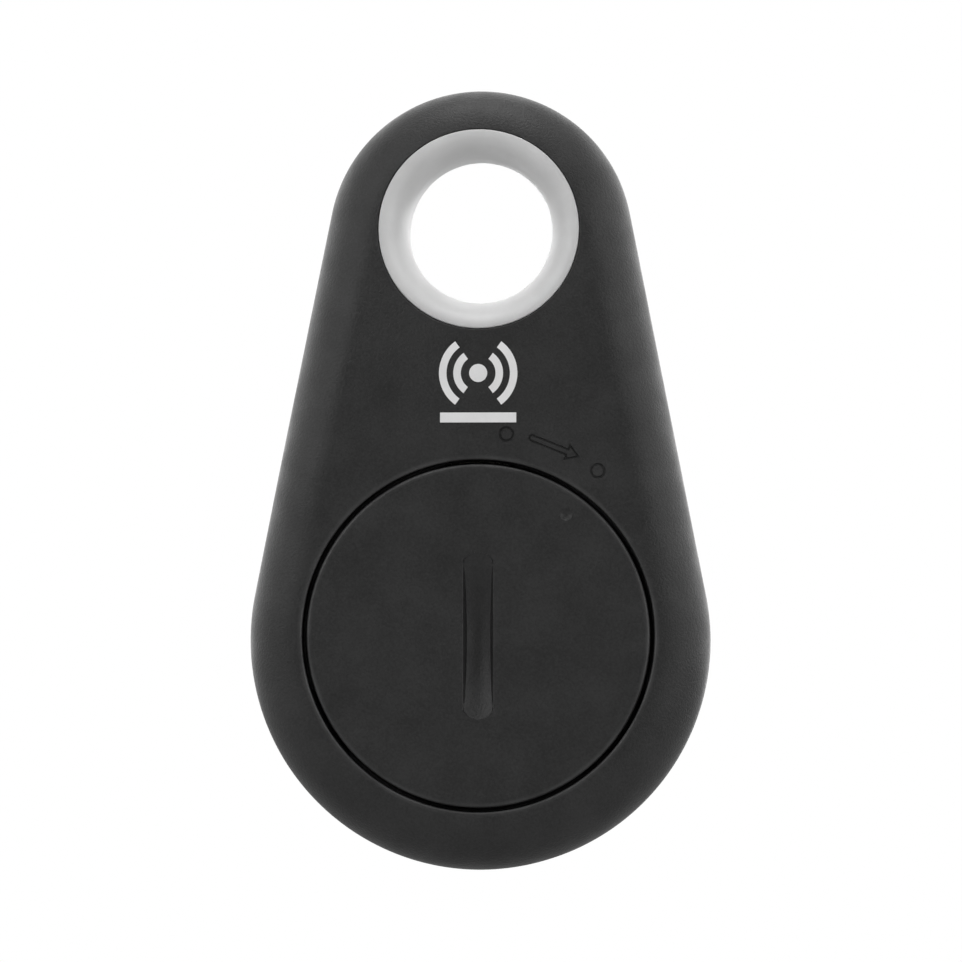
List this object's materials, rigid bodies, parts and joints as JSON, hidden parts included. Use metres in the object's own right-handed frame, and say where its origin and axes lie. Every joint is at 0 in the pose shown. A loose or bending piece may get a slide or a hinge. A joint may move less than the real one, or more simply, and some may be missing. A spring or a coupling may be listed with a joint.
{
  "type": "bluetooth tracker tag",
  "caption": "Teardrop key-finder tag with an eyelet, a coin-slot battery door, a coin cell, a circuit board with a sounder, and a push button.",
  "frame": {"origin": "centre of the eyelet's bore, on the plane where the two shells part", "axes": "+Z along the tag's length towards the eyelet's end, the battery door faces -Y and the button faces +Y, +X across"},
  "size_m": [0.0306, 0.011, 0.052],
  "materials": {
    "shell_plastic": "fine matte moulded texture",
    "door_plastic": "fine matte moulded texture",
    "button_plastic": "satin moulded",
    "eyelet_plastic": "milky, slightly see-through",
    "seal_silicone": "soft silicone",
    "cell_steel": "bright nickel-plated steel",
    "nylon": "natural nylon",
    "cell_contents": "dark pressed powder",
    "tray_plastic": "moulded black",
    "contact_plating": "nickel-plated spring steel",
    "board_laminate": "green solder mask",
    "trace_gold": "gold-plated copper",
    "chip_moulding": "fine matte moulding",
    "tinned_metal": "tinned",
    "capacitor_ceramic": "fired ceramic",
    "resistor_body": "glazed ceramic",
    "switch_plastic": "moulded black",
    "dome_steel": "spring steel",
    "plunger_plastic": "moulded black",
    "buzzer_brass": "rolled brass",
    "piezo_ceramic": "silvered ceramic",
    "clear_plastic": "clear moulded plastic",
    "led_white": "white moulding"
  },
  "bodies": {
    "casing": {"front_shell": "shell_plastic", "back_shell": "shell_plastic", "eyelet_ring": "eyelet_plastic", "cell_tray": "tray_plastic", "negative_contact": "contact_plating", "positive_contact": "contact_plating", "circuit_board": "board_laminate", "antenna_trace": "trace_gold", "radio_chip": "chip_moulding", "crystal_can": "tinned_metal", "chip_capacitors": "capacitor_ceramic", "chip_resistors": "resistor_body", "switch_base": "switch_plastic", "switch_cover": "tinned_metal", "switch_dome": "dome_steel", "switch_terminals": "tinned_metal", "buzzer_case": "chip_moulding", "buzzer_plate": "buzzer_brass", "buzzer_ceramic": "piezo_ceramic", "buzzer_lid": "chip_moulding", "buzzer_terminals": "tinned_metal", "light_window": "clear_plastic", "led_base": "led_white", "led_lens": "clear_plastic"},
    "cell_and_seal": {"cell_can": "cell_steel", "cell_cap": "cell_steel", "cell_gasket": "nylon", "cell_core": "cell_contents", "door_seal": "seal_silicone"},
    "door": {"battery_door": "door_plastic"},
    "button": {"push_button": "button_plastic"},
    "plunger": {"switch_plunger": "plunger_plastic"}
  },
  "joints": [
    {"name": "door_lift", "type": "slide", "parent": "casing", "child": "cell_and_seal", "axis": [0, -1, 0], "range_m": [0, 0.014]},
    {"name": "door_turn", "type": "hinge", "parent": "cell_and_seal", "child": "door", "pos_m": [0, -0.0055, -0.02705], "axis": [0, -1, 0], "range_deg": [0, 28]},
    {"name": "button_press", "type": "slide", "parent": "casing", "child": "button", "axis": [0, -1, 0], "range_m": [0, 0.00025], "stiffness_N_per_m": 3000},
    {"name": "plunger_press", "type": "slide", "parent": "casing", "child": "plunger", "axis": [0, -1, 0], "range_m": [0, 0.00025]}
  ],
  "couplings": [
    {"joint": "plunger_press", "follows": "button_press", "ratio": 1}
  ]
}
